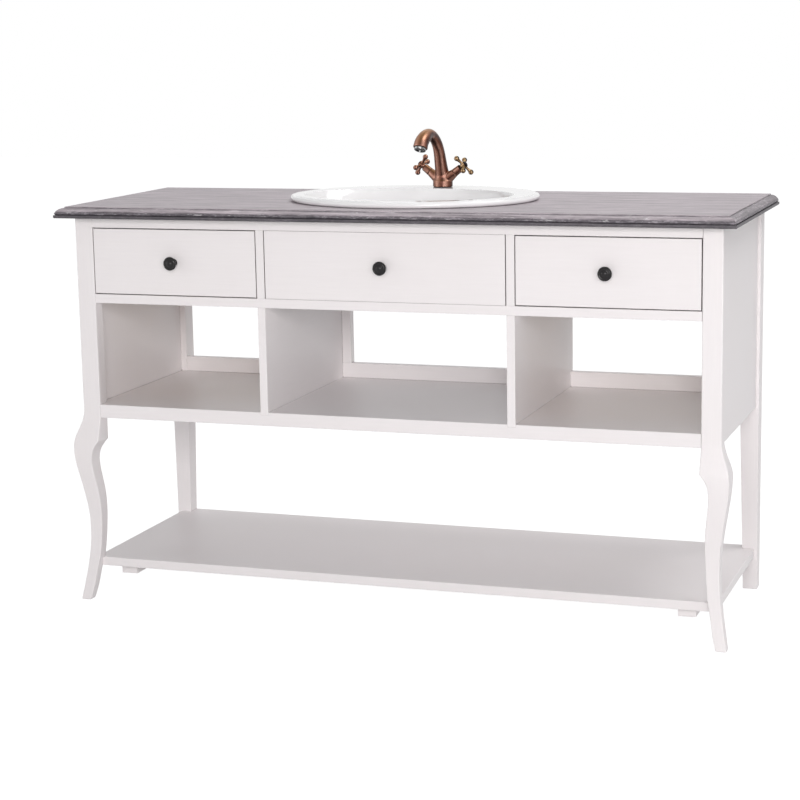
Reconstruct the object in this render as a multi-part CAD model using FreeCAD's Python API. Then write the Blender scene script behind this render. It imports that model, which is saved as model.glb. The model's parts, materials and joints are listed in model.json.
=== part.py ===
import FreeCAD, Part
import math
import os

# Washstand, in millimetres. The front looks along -Y, +Z is up, and the origin
# is on the floor, under the middle of the overall width and depth.
V = FreeCAD.Vector

# Worktop
WIDTH = 1500.0
DEPTH = 540.0
TOP_THICKNESS = 24.0
END_OVERHANG = 32.0
FRONT_OVERHANG = 39.0

# Edge moulding of the worktop, measured in from the nose and down from the surface
MOULDING_WIDTH = 19.0
QUIRK_DEPTH = 2.5
OVOLO_BOTTOM = 14.5
OVOLO_SETBACK = 1.5
OVOLO_BULGE_SHARE = 0.17
COVE_BOTTOM = 17.5
COVE_SETBACK = 4.0
LIP_CHAMFER = 1.5

# Posts and cabriole legs
POST = 42.0
POST_DEPTH = 33.0
LEG_HEIGHT = 420.0
KNEE_SWELL = 17.3
REAR_FOOT_WIDTH = 32.0
REAR_FOOT_DEPTH = 33.0

# Height share of the leg, outward share of the knee's swell
OUTER_CURVE_SHARES = [
    (1.03, 0.00), (0.985, 0.18), (0.929, 0.66), (0.886, 1.01), (0.835, 1.12),
    (0.770, 1.04), (0.680, 0.68), (0.567, 0.22), (0.476, -0.05), (0.393, -0.12),
    (0.310, -0.07), (0.214, 0.16), (0.105, 0.58), (0.00, 1.04)]
# Height share of the leg, inward share of the post's width
INNER_CURVE_SHARES = [
    (0.00, 0.12), (0.088, 0.34), (0.167, 0.47), (0.238, 0.61), (0.310, 0.69), (0.405, 0.75),
    (0.500, 0.775), (0.580, 0.745), (0.650, 0.67), (0.714, 0.59), (0.760, 0.56),
    (0.800, 0.59), (0.835, 0.70), (0.860, 0.86), (0.876, 1.00)]

# Cabinet
MID_SHELF_THICKNESS = 30.0
CUBBY_HEIGHT = 229.0
DRAWER_RAIL_HEIGHT = 20.0
DRAWER_RAIL_DEPTH = 60.0
DRAWER_OPENING_HEIGHT = 147.0
TOP_RAIL_HEIGHT = 23.0
TOP_RAIL_DEPTH = 20.0
MIDDLE_BAY_WIDTH = 539.0
DIVIDER_THICKNESS = 18.0
HOUSING_DEPTH = 6.0
TENON_LENGTH = 20.0
TENON_SHOULDER = 4.0
PANEL_THICKNESS = 20.0
PANEL_INSET = 7.0
PANEL_TONGUE = 8.0
REAR_RAIL_THICKNESS = 20.0
REAR_TOP_RAIL_HEIGHT = 100.0
REAR_SHELF_RAIL_HEIGHT = 35.0
STILE_WIDTH = 22.0

# Lower shelf and the two bearers under it
LOWER_SHELF_TOP = 94.0
LOWER_SHELF_THICKNESS = 20.0
LOWER_SHELF_SETBACK = 16.0
LOWER_SHELF_INSET = 8.0
BEARER_WIDTH = 38.0
BEARER_THICKNESS = 22.0
BEARER_INSET = 68.0
BEARER_SETBACK = 26.0

# Drawers
FRONT_THICKNESS = 18.0
FRONT_GAP = 2.0
FALSE_FRONT_GAP = 0.3
BOX_SIDE_CLEARANCE = 3.0
BOX_WALL = 14.0
BOX_HEIGHT = 112.0
BOX_BACK_GAP = 63.0
BOX_LIFT = 8.0
BACK_DROP = 8.0
BOTTOM_THICKNESS = 5.0
BOTTOM_LIFT = 9.0
GROOVE_DEPTH = 6.0
CLEAT = 18.0
CLEAT_GAP = 4.0

# Side-hung drawer runners
RUNNER_TONGUE_HEIGHT = 15.0
RUNNER_TONGUE_REACH = 6.5
RUNNER_PACKER_HEIGHT = 44.0
RUNNER_RISE = 60.0
RUNNER_PLAY = 0.5
RUNNER_SEAT_GAP = 0.3

# Knob
KNOB_DIAMETER = 29.5
KNOB_PROJECTION = 27.0
KNOB_BASE_DIAMETER = 17.0
KNOB_BASE_HEIGHT = 1.5
KNOB_NECK_DIAMETER = 10.0
KNOB_NECK_HEIGHT = 7.0
KNOB_HEAD_HEIGHT = 11.0
KNOB_RIM_SHARE = 1 / 3
KNOB_EDGE = 3.0
KNOB_BUTTON_DIAMETER = 15.0
KNOB_BUTTON_RISE = 3.0
KNOB_STEM_DIAMETER = 4.0
KNOB_STEM_LENGTH = 14.0

# Wood screw and corner bracket
SCREW_SHANK_DIAMETER = 3.5
SCREW_HEAD_DIAMETER = 7.0
SCREW_HEAD_HEIGHT = 2.0
SCREW_POINT = 3.0
RUNNER_SCREW_LENGTH = 22.0
BRACKET_SCREW_LENGTH = 16.0
BEARER_SCREW_LENGTH = 32.0
CLEAT_SCREW_LENGTH = 30.0
BEARER_SCREW_SHARES = [0.1, 0.5, 0.9]
RUNNER_SCREW_SHARES = [0.12, 0.88]
CLEAT_SCREW_SHARES = [0.2, 0.8]
BRACKET_LEG = 26.0
BRACKET_WIDTH = 18.0
BRACKET_THICKNESS = 2.5
BRACKET_HOLE_SHARE = 0.62

# Basin
BASIN_WIDTH = 562.0
BASIN_SETBACK = 20.0
BASIN_BACK_MARGIN = 21.0
BASIN_OFFSET = 12.0
BASIN_TURN = 4.0
RIM_HEIGHT = 13.5
SEAL_THICKNESS = 1.0
SEAL_WIDTH = 5.0
SEAL_INSET = 7.0
CUTOUT_MARGIN = 13.0
BOWL_SIDE_LAND = 41.0
BOWL_FRONT_LAND = 37.0
BOWL_BACK_LAND = 105.0
BOWL_DEPTH = 146.0
BASIN_WALL = 11.0
DRAIN_FLOOR = 17.0
DRAIN_DIAMETER = 46.0
DRAIN_RECESS_DIAMETER = 68.0
DRAIN_RECESS_DEPTH = 3.0
DRAIN_BOSS_DIAMETER = 74.0
TAP_HOLE_DIAMETER = 35.0
TAP_HOLE_SETBACK = 60.0
CLIP_WIDTH = 20.0
CLIP_THICKNESS = 3.0
CLIP_CLEARANCE = 1.0
CLIP_REACH = 26.0
CLIP_ANGLES = [40.0, 140.0, 220.0, 320.0]

# Rounded rim: share of the rim's height, inward share of it
RIM_SHARES = [(0.0, 0.42), (0.16, 0.14), (0.42, 0.0), (0.72, 0.07), (0.92, 0.36), (1.0, 0.95)]
# Bowl: depth share, size share across and along, share of the way to the drain
BOWL_SHARES = [
    (0.0, 1.0, 1.0, 0.0), (0.06, 0.965, 0.955, 0.03), (0.32, 0.865, 0.84, 0.18),
    (0.64, 0.705, 0.68, 0.46), (0.86, 0.51, 0.50, 0.74), (0.965, 0.28, 0.32, 0.93)]

# Waste
FLANGE_DIAMETER = 64.0
FLANGE_THICKNESS = 3.0
FLANGE_ROUND = 1.2
THREAD_DIAMETER = 41.9
THREAD_RELIEF = 2.0
TUBE_BORE = 34.0
TAIL_LENGTH = 78.0
PLUG_DIAMETER = 60.0
PLUG_THICKNESS = 6.0
PLUG_EDGE = 2.5
PLUG_CROWN = 2.5
PLUG_STEM_DIAMETER = 8.0
PLUG_STEM_LENGTH = 32.0
PLUG_GAP = 0.3
GUIDE_HUB_DIAMETER = 15.0
GUIDE_HEIGHT = 10.0
GUIDE_DEPTH = 22.0
GUIDE_ARM = 4.0
GUIDE_ARMS = 3
RUNNING_CLEARANCE = 0.05
UPPER_SEAL_THICKNESS = 1.5
LOWER_SEAL_THICKNESS = 3.0
LOWER_SEAL_DIAMETER = 62.0
BACK_NUT_ACROSS = 60.0
BACK_NUT_HEIGHT = 11.0

# Mixer tap with two raised arms
TAP_TURN = 4.0
TAP_BASE_DIAMETER = 45.0
TAP_BASE_HEIGHT = 13.0
GASKET_THICKNESS = 0.8
GASKET_DIAMETER = 40.0
ARM_RISE = 36.0
ARM_ROOT_HEIGHT = 10.0
ARM_LENGTH = 38.5
ARM_ROOT_DIAMETER = 31.0
ARM_END_DIAMETER = 18.6
ARM_BORE = 14.0
ARM_BORE_DEPTH = 9.0
SHOULDER_DIAMETER = 36.0
SHOULDER_HEIGHT = 27.0
SPOUT_REACH = 117.0
SPOUT_HEIGHT = 121.5
SPOUT_BORE_DEPTH = 9.0
OUTLET_LIP = 2.2
OUTLET_LEAN = 27.0

# Spout's centre line: reach share, height share, and diameter
SPOUT_SHARES = [
    (0.000, 0.100), (0.035, 0.280), (0.082, 0.440), (0.142, 0.640), (0.235, 0.810),
    (0.370, 0.930), (0.540, 1.000), (0.715, 0.980), (0.860, 0.900), (0.950, 0.785)]
SPOUT_DIAMETERS = [33.0, 30.5, 28.0, 25.5, 24.3, 24.0, 24.3, 27.8, 31.4, 33.2]

AERATOR_DIAMETER = 26.5
AERATOR_MOUTH = 20.0
AERATOR_PROJECTION = 5.5
AERATOR_ROUND = 2.0
AERATOR_CLEARANCE = 0.1

BONNET_LENGTH = 19.0
BONNET_END_DIAMETER = 17.0
BONNET_SEAM = 1.3
BONNET_SEAM_DEPTH = 1.1
BONNET_CHAMFER = 1.6
SPINDLE_DIAMETER = 8.0
SPINDLE_DEPTH = 16.0
SPINDLE_REACH = 11.0

HANDLE_GAP = 0.4
HUB_DIAMETER = 14.5
HUB_FOOT_DIAMETER = 11.0
HUB_LENGTH = 16.5
CAP_DIAMETER = 13.4
CAP_HEIGHT = 3.6
CAP_SEAM = 0.7
CROSS_HEIGHT = 8.0
SPOKES = 4
BALL_RADIUS = 23.5
BALL_DIAMETER = 12.0
SPOKE_ROOT_DIAMETER = 9.2
SPOKE_NECK_DIAMETER = 7.8
SPOKE_TURNS = {"cold": 33.0, "hot": -16.0}

TAIL_THREAD_DIAMETER = 8.9
TAIL_THREAD_DEPTH = 12.0
TAIL_OFFSET = 8.0
TAIL_FORWARD = 4.0
STUD_DIAMETER = 8.0
STUD_LENGTH = 70.0
STUD_BACK = 9.5
CLAMP_DIAMETER = 46.0
CLAMP_THICKNESS = 3.0
CLAMP_SLOT = 26.0
CLAMP_SLOT_END = 1.0
STUD_NUT_ACROSS = 13.0
STUD_NUT_HEIGHT = 8.0

# How far past a face a cutter starts and ends
OVERRUN = 5.0

HEX_SIDES = 6

# Swelling of an arc as a share of its chord
QUARTER_BULGE_SHARE = (math.sqrt(2) - 1) / 2
SHALLOW_BULGE_SHARE = 0.09

# Levels and planes worked out from the sizes above
FRONT = -DEPTH / 2 + FRONT_OVERHANG
BACK = DEPTH / 2
HALF = WIDTH / 2 - END_OVERHANG
SHELF_TOP = LEG_HEIGHT + MID_SHELF_THICKNESS
RAIL_BOTTOM = SHELF_TOP + CUBBY_HEIGHT
OPENING_BOTTOM = RAIL_BOTTOM + DRAWER_RAIL_HEIGHT
OPENING_TOP = OPENING_BOTTOM + DRAWER_OPENING_HEIGHT
POST_TOP = OPENING_TOP + TOP_RAIL_HEIGHT
SURFACE = POST_TOP + TOP_THICKNESS
POST_INSIDE = HALF - POST
FRONT_POST_BACK = FRONT + POST_DEPTH
PANEL_OUTSIDE = HALF - PANEL_INSET
PANEL_INSIDE = PANEL_OUTSIDE - PANEL_THICKNESS
DIVIDER_INSIDE = MIDDLE_BAY_WIDTH / 2
BEARER_PLACE = HALF - LOWER_SHELF_INSET - BEARER_INSET
DIVIDER_OUTSIDE = DIVIDER_INSIDE + DIVIDER_THICKNESS
REAR_POST_FRONT = BACK - POST
REAR_RAIL_FRONT = BACK - REAR_RAIL_THICKNESS

parts = {}


def box(x0, x1, y0, y1, z0, z1):
    return Part.makeBox(x1 - x0, y1 - y0, z1 - z0, V(x0, y0, z0))


def mirrored(shape):
    return shape.mirror(V(0, 0, 0), V(1, 0, 0))


def outline(points):
    """Closed face in the XZ plane. A point's third value makes the side to it an arc.

    The arc swells to the right of its way by that share of its chord.
    """
    edges = []
    here = V(points[-1][0], 0, points[-1][1])
    for point in points:
        there = V(point[0], 0, point[1])
        if len(point) > 2:
            chord = there - here
            middle = (here + there) / 2 + V(chord.z, 0, -chord.x) * point[2]
            edges.append(Part.Arc(here, middle, there).toShape())
        else:
            edges.append(Part.LineSegment(here, there).toShape())
        here = there
    return Part.Face(Part.Wire(edges))


def dome_share(reach, rise):
    """Bulge of an arc from a rim to its crown that is level at the crown."""
    return math.tan(math.atan(rise / reach) / 2) / 2


def lathe(points):
    """Solid of revolution about Z. Points are radius and height, outside on their right."""
    return outline(points).revolve(V(0, 0, 0), V(0, 0, 1), 360)


def ring(outer, inner, height, bottom):
    """Flat ring about Z, by its diameters."""
    disc = Part.makeCylinder(outer / 2, height, V(0, 0, bottom))
    hole = Part.makeCylinder(inner / 2, height, V(0, 0, bottom))
    return disc.cut(hole)


def hexagon(across, height, bottom):
    """Hexagonal prism about Z, by its width across the flats."""
    reach = across / math.sqrt(3)
    corners = []
    for corner in range(HEX_SIDES + 1):
        angle = math.tau * corner / HEX_SIDES
        corners.append(V(reach * math.cos(angle), reach * math.sin(angle), bottom))
    return Part.Face(Part.makePolygon(corners)).extrude(V(0, 0, height))


def ellipse(half_width, half_length, middle, z):
    """Level ellipse centred on the YZ plane."""
    centre = V(0, middle, z)
    if half_width == half_length:
        return Part.Wire(Part.Circle(centre, V(0, 0, 1), half_width).toShape())
    if half_width > half_length:
        return Part.Wire(Part.Ellipse(centre, half_width, half_length).toShape())
    tall = Part.Ellipse(centre + V(0, half_length, 0), centre - V(half_width, 0, 0), centre)
    return Part.Wire(tall.toShape(-math.tau / 4, math.tau * 3 / 4))  # Starts on +X like the others


def in_cutout(shape):
    """Turn and shift a piece made square to the middle bay to where the basin sits."""
    moved = shape.copy()
    moved.rotate(V(0, BASIN_MIDDLE, 0), V(0, 0, 1), -BASIN_TURN)
    moved.translate(V(-BASIN_OFFSET, 0, 0))
    return moved


def moulding_waste():
    """What the cutter takes off one edge: a section along X, under the surface at z 0."""
    low = -TOP_THICKNESS
    return outline([
        (-OVERRUN, OVERRUN),
        (MOULDING_WIDTH, OVERRUN),
        (MOULDING_WIDTH, -QUIRK_DEPTH),
        (OVOLO_SETBACK, -OVOLO_BOTTOM, OVOLO_BULGE_SHARE),
        (COVE_SETBACK, -COVE_BOTTOM),
        (0, -COVE_BOTTOM),
        (0, low + LIP_CHAMFER),
        (LIP_CHAMFER, low),
        (LIP_CHAMFER, low - OVERRUN),
        (-OVERRUN, low - OVERRUN)])


def make_worktop():
    """Slab with a quirked ovolo cut along its front and both ends, and the basin's cut-out."""
    slab = box(-WIDTH / 2, WIDTH / 2, -DEPTH / 2, BACK, POST_TOP, SURFACE)
    section = moulding_waste()
    end = section.copy()
    end.translate(V(-WIDTH / 2, -DEPTH / 2 - OVERRUN, SURFACE))
    left = end.extrude(V(0, DEPTH + 2 * OVERRUN, 0))
    nose = section.copy()
    nose.rotate(V(0, 0, 0), V(0, 0, 1), 90)
    nose.translate(V(-WIDTH / 2 - OVERRUN, -DEPTH / 2, SURFACE))
    front = nose.extrude(V(WIDTH + 2 * OVERRUN, 0, 0))
    hole = Part.Face(ellipse(BASIN_WIDTH / 2 - CUTOUT_MARGIN, BASIN_LENGTH / 2 - CUTOUT_MARGIN,
                             BASIN_MIDDLE, POST_TOP - OVERRUN))
    hole = in_cutout(hole.extrude(V(0, 0, TOP_THICKNESS + 2 * OVERRUN)))
    return slab.cut([left, mirrored(left), front, hole])


def leg_silhouette():
    """Outline of a front leg and its post. X is measured in from the post's outer face."""
    outer = [V(-KNEE_SWELL * out, 0, LEG_HEIGHT * up) for up, out in OUTER_CURVE_SHARES]
    inner = [V(POST * into, 0, LEG_HEIGHT * up) for up, into in INNER_CURVE_SHARES]
    outer_curve = Part.BSplineCurve()
    outer_curve.interpolate(outer)
    inner_curve = Part.BSplineCurve()
    inner_curve.interpolate(inner)
    edges = [
        Part.LineSegment(V(0, 0, POST_TOP), outer[0]).toShape(),
        outer_curve.toShape(),
        Part.LineSegment(outer[-1], inner[0]).toShape(),
        inner_curve.toShape(),
        Part.LineSegment(inner[-1], V(POST, 0, POST_TOP)).toShape(),
        Part.LineSegment(V(POST, 0, POST_TOP), V(0, 0, POST_TOP)).toShape()]
    return Part.Face(Part.Wire(edges))


def make_front_leg():
    """Left front leg: the same curve sawn from the front and from the side."""
    blank = POST + 2 * KNEE_SWELL
    front_view = leg_silhouette()
    front_view.translate(V(-HALF, FRONT - 2 * KNEE_SWELL, 0))
    side_view = leg_silhouette()
    side_view.rotate(V(0, 0, 0), V(0, 0, 1), 90)
    side_view.translate(V(-HALF - 2 * KNEE_SWELL, FRONT, 0))
    across = front_view.extrude(V(0, 2 * blank, 0))
    along = side_view.extrude(V(2 * blank, 0, 0))
    depth = box(-HALF - blank, -HALF + blank, FRONT - blank, FRONT_POST_BACK, 0, POST_TOP)
    return across.common(along).common(depth)


def make_rear_leg():
    """Left rear leg: square down to the middle shelf, then tapered on its two inner faces."""
    post = box(-HALF, -POST_INSIDE, REAR_POST_FRONT, BACK, LEG_HEIGHT, POST_TOP)
    top = Part.makePolygon([
        V(-HALF, BACK, LEG_HEIGHT), V(-HALF + POST, BACK, LEG_HEIGHT),
        V(-HALF + POST, BACK - POST, LEG_HEIGHT), V(-HALF, BACK - POST, LEG_HEIGHT),
        V(-HALF, BACK, LEG_HEIGHT)])
    foot = Part.makePolygon([
        V(-HALF, BACK, 0), V(-HALF + REAR_FOOT_WIDTH, BACK, 0),
        V(-HALF + REAR_FOOT_WIDTH, BACK - REAR_FOOT_DEPTH, 0), V(-HALF, BACK - REAR_FOOT_DEPTH, 0),
        V(-HALF, BACK, 0)])
    taper = Part.makeLoft([foot, top], True, True)
    return post.fuse(taper).removeSplitter()


def rail(y0, y1, z0, z1):
    """Rail from post to post with a shouldered tenon at each end."""
    body = box(-POST_INSIDE, POST_INSIDE, y0, y1, z0, z1)
    reach = POST_INSIDE + TENON_LENGTH
    tenon = box(-reach, reach, y0 + TENON_SHOULDER, y1 - TENON_SHOULDER,
                z0 + TENON_SHOULDER, z1 - TENON_SHOULDER)
    return body.fuse(tenon).removeSplitter()


def wood_screw(length):
    """Countersunk screw along Z, its head's face at z 0 and its point down."""
    shank = SCREW_SHANK_DIAMETER / 2
    head = SCREW_HEAD_DIAMETER / 2
    return lathe([
        (0, -length), (shank, SCREW_POINT - length), (shank, -SCREW_HEAD_HEIGHT), (head, 0), (0, 0)])


def placed(shape, direction, point):
    """Turn a shape's +Z to a direction, then move its origin to a point."""
    moved = shape.copy()
    moved.Placement = FreeCAD.Placement(point, FreeCAD.Rotation(V(0, 0, 1), direction))
    return moved


def make_carcass():
    """Posts, panels, dividers, shelves and rails, all housed or tenoned into each other."""
    front_leg = make_front_leg()
    rear_leg = make_rear_leg()

    top_rail = rail(FRONT, FRONT + TOP_RAIL_DEPTH, OPENING_TOP, POST_TOP)
    drawer_rail = rail(FRONT, FRONT + DRAWER_RAIL_DEPTH, RAIL_BOTTOM, OPENING_BOTTOM)
    rear_top = rail(REAR_RAIL_FRONT, BACK, POST_TOP - REAR_TOP_RAIL_HEIGHT, POST_TOP)
    rear_low = rail(REAR_POST_FRONT, REAR_POST_FRONT + REAR_RAIL_THICKNESS,
                    SHELF_TOP, SHELF_TOP + REAR_SHELF_RAIL_HEIGHT)

    panel = box(-PANEL_OUTSIDE, -PANEL_INSIDE, FRONT_POST_BACK - PANEL_TONGUE,
                REAR_POST_FRONT + PANEL_TONGUE, LEG_HEIGHT, POST_TOP)
    panels = [panel, mirrored(panel)]
    rails = [item.cut(panels) for item in (top_rail, drawer_rail, rear_top, rear_low)]
    front_leg = front_leg.cut(rails + [panel])
    rear_leg = rear_leg.cut(rails + [panel])

    divider = box(-DIVIDER_OUTSIDE, -DIVIDER_INSIDE, FRONT, REAR_RAIL_FRONT,
                  SHELF_TOP - HOUSING_DEPTH, POST_TOP).cut(rails)
    stile = box(-DIVIDER_INSIDE, -DIVIDER_INSIDE + STILE_WIDTH, REAR_POST_FRONT, REAR_RAIL_FRONT,
                SHELF_TOP + REAR_SHELF_RAIL_HEIGHT, POST_TOP)

    shelf = box(-PANEL_INSIDE, PANEL_INSIDE, FRONT, BACK, LEG_HEIGHT, SHELF_TOP)
    corners = [box(-HALF, -POST_INSIDE, FRONT, FRONT_POST_BACK, LEG_HEIGHT, SHELF_TOP),
               box(-HALF, -POST_INSIDE, REAR_POST_FRONT, BACK, LEG_HEIGHT, SHELF_TOP)]
    corners = corners + [mirrored(corner) for corner in corners]
    shelf = shelf.cut(corners + [divider, mirrored(divider)])

    side = HALF - LOWER_SHELF_INSET
    lower = box(-side, side, FRONT + LOWER_SHELF_SETBACK, BACK,
                LOWER_SHELF_TOP - LOWER_SHELF_THICKNESS, LOWER_SHELF_TOP)
    lower = lower.cut([front_leg, rear_leg, mirrored(front_leg), mirrored(rear_leg)])

    parts["front_left_leg"] = front_leg
    parts["rear_left_leg"] = rear_leg
    parts["left_side_panel"] = panel
    parts["left_divider"] = divider
    parts["left_rear_stile"] = stile
    for name in ["front_left_leg", "rear_left_leg", "left_side_panel", "left_divider",
                 "left_rear_stile"]:
        parts[name.replace("left", "right")] = mirrored(parts[name])
    for name, item in zip(["top_front_rail", "drawer_rail", "rear_top_rail", "rear_shelf_rail"], rails):
        parts[name] = item
    parts["mid_shelf"] = shelf
    parts["lower_shelf"] = lower


def make_bearers():
    """Two battens screwed up into the lower shelf."""
    top = LOWER_SHELF_TOP - LOWER_SHELF_THICKNESS
    y0 = FRONT + LOWER_SHELF_SETBACK + BEARER_SETBACK
    y1 = BACK - BEARER_SETBACK
    bearer = box(-BEARER_PLACE - BEARER_WIDTH / 2, -BEARER_PLACE + BEARER_WIDTH / 2,
                 y0, y1, top - BEARER_THICKNESS, top)
    parts["left_bearer"] = bearer
    parts["right_bearer"] = mirrored(bearer)
    screw = wood_screw(BEARER_SCREW_LENGTH)
    screws = []
    for share in BEARER_SCREW_SHARES:
        point = V(-BEARER_PLACE, y0 + share * (y1 - y0), top - BEARER_THICKNESS)
        screws.append(placed(screw, V(0, 0, -1), point))
    return screws


def make_knob():
    """Mushroom knob with a raised button and its stem, about Z, its base at z 0."""
    head = KNOB_DIAMETER / 2
    button = KNOB_BUTTON_DIAMETER / 2
    base = KNOB_BASE_DIAMETER / 2
    neck = KNOB_NECK_DIAMETER / 2
    stem = KNOB_STEM_DIAMETER / 2
    tip = KNOB_PROJECTION
    shoulder = tip - KNOB_BUTTON_RISE
    under = tip - KNOB_HEAD_HEIGHT
    rim = under + KNOB_RIM_SHARE * (shoulder - under)
    return lathe([
        (0, -KNOB_STEM_LENGTH), (stem, -KNOB_STEM_LENGTH), (stem, 0), (base, 0),
        (base, KNOB_BASE_HEIGHT),
        (neck, KNOB_NECK_HEIGHT, -QUARTER_BULGE_SHARE),
        (head, rim, -QUARTER_BULGE_SHARE),
        (head - KNOB_EDGE, shoulder, QUARTER_BULGE_SHARE),
        (button, shoulder, -SHALLOW_BULGE_SHARE),
        (0, tip, dome_share(button, tip - shoulder))])


def make_runners():
    """Two hardwood runners of the left bay and the screws that hold them."""
    z0 = OPENING_BOTTOM + RUNNER_RISE
    z1 = z0 + RUNNER_TONGUE_HEIGHT
    middle = (z0 + z1) / 2
    y0 = FRONT_POST_BACK
    y1 = REAR_POST_FRONT
    reach = BOX_SIDE_CLEARANCE + RUNNER_TONGUE_REACH
    packer = box(-PANEL_INSIDE, -POST_INSIDE, y0, y1,
                 middle - RUNNER_PACKER_HEIGHT / 2, middle + RUNNER_PACKER_HEIGHT / 2)
    outer = packer.fuse(box(-POST_INSIDE, -POST_INSIDE + reach, y0, y1, z0, z1)).removeSplitter()
    inner = box(-DIVIDER_OUTSIDE - reach, -DIVIDER_OUTSIDE, y0, y1, z0, z1)
    screw = wood_screw(RUNNER_SCREW_LENGTH)
    screws = []
    above_tongue = (RUNNER_PACKER_HEIGHT + RUNNER_TONGUE_HEIGHT) / 4
    for share in RUNNER_SCREW_SHARES:
        y = y0 + share * (y1 - y0)
        screws.append(placed(screw, V(1, 0, 0), V(-POST_INSIDE, y, middle + above_tongue)))
        screws.append(placed(screw, V(-1, 0, 0), V(-DIVIDER_OUTSIDE - reach, y, middle)))
    return outer, inner, screws


def make_drawer():
    """Left drawer: grooved sides housed in an inset front, with back, bottom and knob."""
    x0 = -POST_INSIDE
    x1 = -DIVIDER_OUTSIDE
    front = box(x0 + FRONT_GAP, x1 - FRONT_GAP, FRONT, FRONT + FRONT_THICKNESS,
                OPENING_BOTTOM + FRONT_GAP, OPENING_TOP - FRONT_GAP)
    a0 = x0 + BOX_SIDE_CLEARANCE
    a1 = a0 + BOX_WALL
    b1 = x1 - BOX_SIDE_CLEARANCE
    b0 = b1 - BOX_WALL
    z0 = OPENING_BOTTOM + BOX_LIFT
    z1 = z0 + BOX_HEIGHT
    y0 = FRONT + FRONT_THICKNESS - HOUSING_DEPTH
    y1 = REAR_RAIL_FRONT - BOX_BACK_GAP
    outer = box(a0, a1, y0, y1, z0, z1)
    inner = box(b0, b1, y0, y1, z0, z1)
    back = box(a1 - GROOVE_DEPTH, b0 + GROOVE_DEPTH, y1 - 2 * BOX_WALL, y1 - BOX_WALL,
               z0 + BOTTOM_LIFT + BOTTOM_THICKNESS, z1 - BACK_DROP)
    bottom = box(a1 - GROOVE_DEPTH, b0 + GROOVE_DEPTH,
                 FRONT + FRONT_THICKNESS - HOUSING_DEPTH, y1 - BOX_WALL,
                 z0 + BOTTOM_LIFT, z0 + BOTTOM_LIFT + BOTTOM_THICKNESS)

    slot_top = OPENING_BOTTOM + RUNNER_RISE + RUNNER_TONGUE_HEIGHT + RUNNER_SEAT_GAP
    slot_low = OPENING_BOTTOM + RUNNER_RISE - RUNNER_PLAY
    slot_depth = RUNNER_TONGUE_REACH + RUNNER_PLAY
    slot_end = FRONT_POST_BACK - RUNNER_SEAT_GAP
    outer_slot = box(a0 - OVERRUN, a0 + slot_depth, slot_end, y1 + OVERRUN, slot_low, slot_top)
    inner_slot = box(b1 - slot_depth, b1 + OVERRUN, slot_end, y1 + OVERRUN, slot_low, slot_top)

    knob_point = V((x0 + x1) / 2, FRONT, (OPENING_BOTTOM + OPENING_TOP) / 2)
    knob = placed(make_knob(), V(0, -1, 0), knob_point)
    drawer = {
        "left_drawer_front": front.cut([outer, inner, bottom, knob]),
        "left_drawer_outer_side": outer.cut([back, bottom, outer_slot]),
        "left_drawer_inner_side": inner.cut([back, bottom, inner_slot]),
        "left_drawer_back": back,
        "left_drawer_bottom": bottom,
        "left_drawer_knob": knob}
    for name, shape in drawer.items():
        parts[name] = shape
        parts[name.replace("left", "right")] = mirrored(shape)


def make_false_front():
    """Fixed middle front that hides the bowl, on two cleats, and the screws of these."""
    x = DIVIDER_INSIDE
    panel = box(-x + FRONT_GAP, x - FRONT_GAP, FRONT, FRONT + FRONT_THICKNESS,
                OPENING_BOTTOM + FALSE_FRONT_GAP, OPENING_TOP - FALSE_FRONT_GAP)
    knob = placed(make_knob(), V(0, -1, 0), V(0, FRONT, (OPENING_BOTTOM + OPENING_TOP) / 2))
    y0 = FRONT + FRONT_THICKNESS
    cleat = box(-x, -x + CLEAT, y0, y0 + CLEAT, OPENING_BOTTOM + CLEAT_GAP, OPENING_TOP - CLEAT_GAP)
    screws = []
    for share in CLEAT_SCREW_SHARES:
        z = OPENING_BOTTOM + share * DRAWER_OPENING_HEIGHT
        screws.append(placed(wood_screw(CLEAT_SCREW_LENGTH), V(1, 0, 0),
                             V(-x + CLEAT, y0 + CLEAT / 2, z)))
    parts["false_front"] = panel.cut(knob)
    parts["false_front_knob"] = knob
    return cleat, screws


def make_brackets():
    """Steel corner brackets under the worktop, on the left panel and the left divider."""
    arm = box(0, BRACKET_LEG, -BRACKET_WIDTH / 2, BRACKET_WIDTH / 2, -BRACKET_THICKNESS, 0)
    drop = box(0, BRACKET_THICKNESS, -BRACKET_WIDTH / 2, BRACKET_WIDTH / 2, -BRACKET_LEG, 0)
    angle = arm.fuse(drop).removeSplitter()
    middle = (FRONT + BACK) / 2
    bracket_places = [(-PANEL_INSIDE, 1), (-DIVIDER_OUTSIDE, -1)]
    screw = wood_screw(BRACKET_SCREW_LENGTH)
    hole_out = BRACKET_HOLE_SHARE * BRACKET_LEG
    brackets = []
    screws = []
    for x, side in bracket_places:
        bracket = angle if side > 0 else mirrored(angle)
        bracket = bracket.copy()
        bracket.translate(V(x, middle, POST_TOP))
        up = placed(screw, V(0, 0, -1), V(x + side * hole_out, middle, POST_TOP - BRACKET_THICKNESS))
        into = placed(screw, V(side, 0, 0),
                      V(x + side * BRACKET_THICKNESS, middle, POST_TOP - hole_out))
        brackets.append(bracket.cut([up, into]))
        screws += [up, into]
    return brackets, screws


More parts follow.
